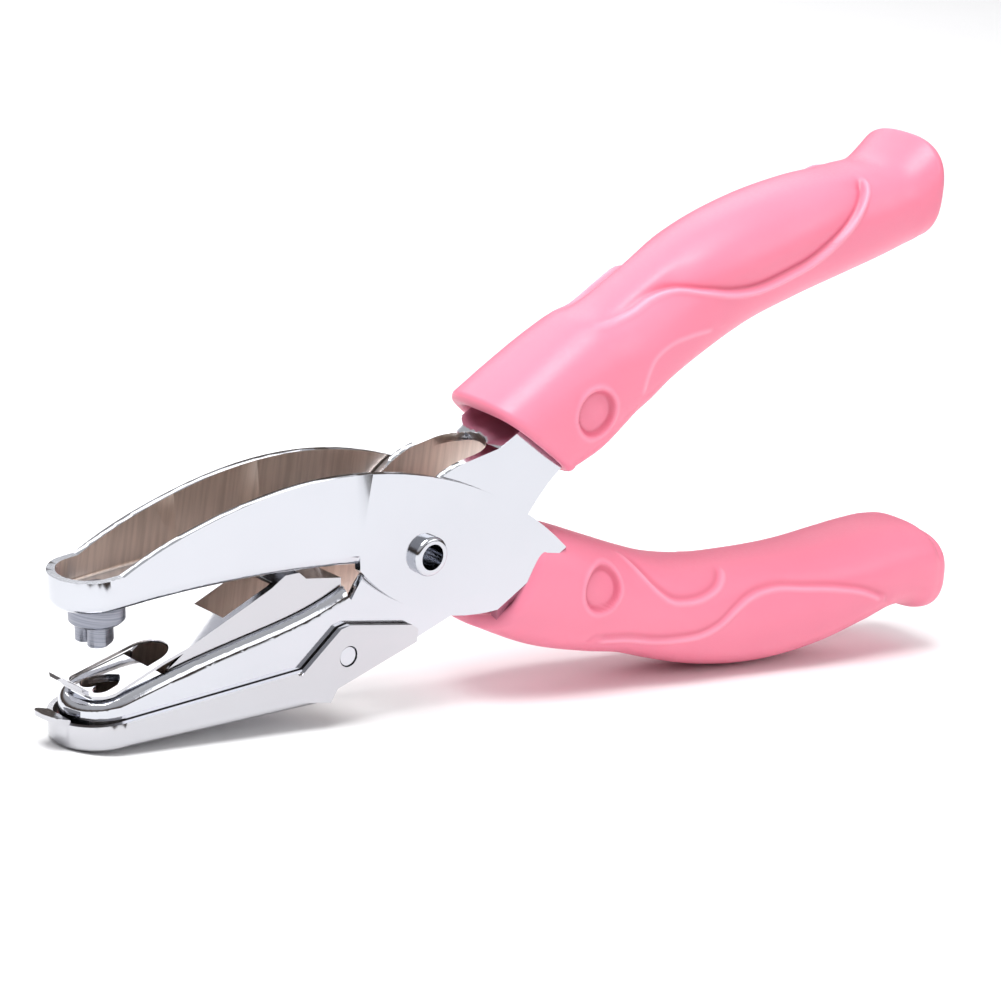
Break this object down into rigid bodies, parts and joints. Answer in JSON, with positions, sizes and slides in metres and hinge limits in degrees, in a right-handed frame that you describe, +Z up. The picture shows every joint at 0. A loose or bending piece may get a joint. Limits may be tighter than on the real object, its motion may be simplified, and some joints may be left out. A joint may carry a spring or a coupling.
{
  "type": "heart hole hand punch",
  "caption": "Plier-type hand punch that cuts a heart-shaped hole in paper, with a stripper plate, a chip catcher that swings open and soft grips.",
  "frame": {"origin": "middle of the pivot rivet's bore, on the tool's centre plane", "axes": "+X from the jaws to the handles, +Y across the tool along the rivet, +Z up as the tool stands on its chip catcher and lower grip"},
  "size_m": [0.1701, 0.02, 0.0823],
  "materials": {
    "plate": "bright nickel plate",
    "tray_plate": "bright nickel plate",
    "punch_steel": "turned, blued grey",
    "spring_steel": "drawn wire",
    "rivet_plate": "bright nickel plate",
    "grip": "satin pink"
  },
  "bodies": {
    "die_side": {"die_lever": "plate", "upper_grip": "grip", "return_spring": "spring_steel"},
    "punch_side": {"punch_lever": "plate", "heart_punch": "punch_steel", "pivot_rivet": "rivet_plate", "lower_grip": "grip"},
    "catcher": {"chip_catcher": "tray_plate"},
    "stripper": {"stripper_plate": "tray_plate"}
  },
  "joints": [
    {"name": "squeeze", "type": "hinge", "parent": "die_side", "child": "punch_side", "pos_m": [0, 0, 0], "axis": [0, -1, 0], "range_deg": [0, 8.5], "stiffness_Nm_per_rad": 2.8, "springref_deg": -16.39, "deforming": ["return_spring"]},
    {"name": "stripper_press", "type": "hinge", "parent": "die_side", "child": "stripper", "pos_m": [-0.05251, 0, -0.01667], "axis": [0, 1, 0], "range_deg": [0, 4.6]},
    {"name": "catcher_open", "type": "hinge", "parent": "die_side", "child": "catcher", "pos_m": [-0.01155, 0, -0.01401], "axis": [0, -1, 0], "range_deg": [0, 11]}
  ],
  "couplings": [
    {"joint": "stripper_press", "follows": "squeeze", "ratio": 0.541}
  ]
}
